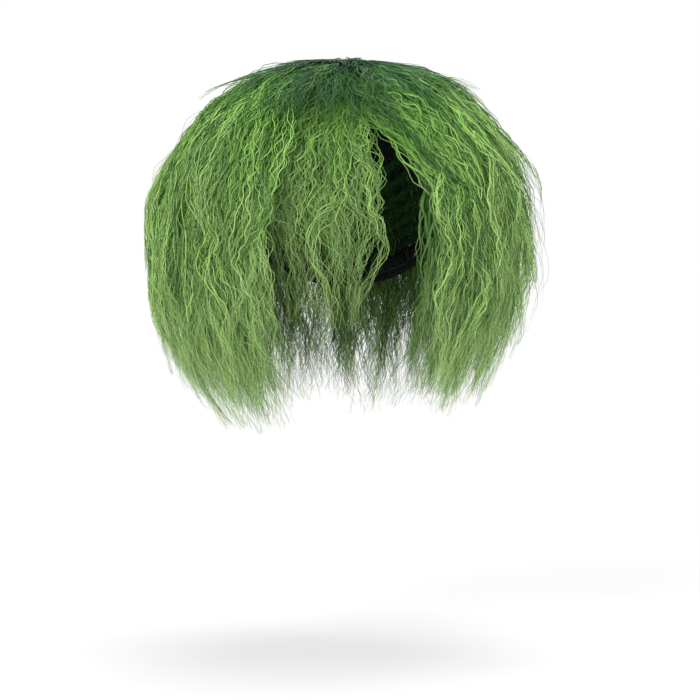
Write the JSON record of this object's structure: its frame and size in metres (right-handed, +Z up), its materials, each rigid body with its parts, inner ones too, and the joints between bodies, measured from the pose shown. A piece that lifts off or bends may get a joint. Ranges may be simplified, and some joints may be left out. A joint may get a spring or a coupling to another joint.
{
  "type": "costume wig",
  "caption": "Shaggy crimped-fibre costume wig on a net cap with ear tabs, elastic ribs and hook-and-loop-row nape adjusters.",
  "frame": {"origin": "crown seat: the inside top of the cap, where it bears on the top of the wearer's head", "axes": "+Z up, the wearer faces -Y, +X to the wearer's left"},
  "size_m": [0.276, 0.2439, 0.2607],
  "materials": {
    "fibre": "crimped synthetic fibre, slight sheen",
    "crown_fibre": "crimped synthetic fibre, darker at the roots",
    "weft_header": "stitched fibre and thread",
    "cap_mesh": "open nylon net",
    "elastic": "ribbed woven elastic",
    "band_fabric": "woven polyester tape",
    "stay_plastic": "thin milky strip",
    "hook_plastic": "moulded, smooth"
  },
  "bodies": {
    "cap": {"cap_net": "cap_mesh", "front_band": "band_fabric", "nape_band": "band_fabric", "crown_patch": "cap_mesh", "left_side_rib": "elastic", "left_back_rib": "elastic", "centre_back_rib": "elastic", "right_back_rib": "elastic", "right_side_rib": "elastic", "weft_track_1": "weft_header", "weft_track_2": "weft_header", "weft_track_3": "weft_header", "weft_track_4": "weft_header", "weft_track_5": "weft_header", "weft_track_6": "weft_header", "weft_track_7": "weft_header", "weft_track_8": "weft_header", "weft_track_9": "weft_header", "left_loop_tape": "band_fabric", "left_adjuster_strap": "elastic", "right_loop_tape": "band_fabric", "right_adjuster_strap": "elastic", "crown_whorl_hair": "crown_fibre", "crown_front_hair": "crown_fibre", "crown_left_hair": "crown_fibre", "crown_back_hair": "crown_fibre", "crown_right_hair": "crown_fibre", "left_front_upper_hair": "fibre", "left_front_lower_hair": "fibre", "left_side_upper_hair": "fibre", "left_side_lower_hair": "fibre", "back_left_upper_hair": "fibre", "back_left_lower_hair": "fibre", "back_right_upper_hair": "fibre", "back_right_lower_hair": "fibre", "right_side_upper_hair": "fibre", "right_side_lower_hair": "fibre", "right_front_upper_hair": "fibre", "right_front_lower_hair": "fibre", "fringe_hair": "fibre"},
    "left_hook": {"left_hook": "hook_plastic"},
    "right_hook": {"right_hook": "hook_plastic"},
    "left_tab": {"left_ear_tab": "band_fabric", "left_tab_stay": "stay_plastic"},
    "right_tab": {"right_ear_tab": "band_fabric", "right_tab_stay": "stay_plastic"}
  },
  "joints": [
    {"name": "left_hook_release", "type": "slide", "parent": "cap", "child": "left_hook", "axis": [-0.8341, 0.4519, -0.3164], "range_m": [0, 0.004], "stiffness_N_per_m": 40, "springref_m": -0.01, "deforming": ["left_adjuster_strap"]},
    {"name": "right_hook_release", "type": "slide", "parent": "cap", "child": "right_hook", "axis": [0.8341, 0.4519, -0.3164], "range_m": [0, 0.004], "stiffness_N_per_m": 40, "springref_m": -0.01, "deforming": ["right_adjuster_strap"]},
    {"name": "left_tab_bend", "type": "hinge", "parent": "cap", "child": "left_tab", "pos_m": [0.0641, -0.03485, -0.0672], "axis": [0.3997, 0.7509, -0.5258], "range_deg": [0, 25]},
    {"name": "right_tab_bend", "type": "hinge", "parent": "cap", "child": "right_tab", "pos_m": [-0.0641, -0.03485, -0.0672], "axis": [0.3997, -0.7509, 0.5258], "range_deg": [0, 25]}
  ]
}
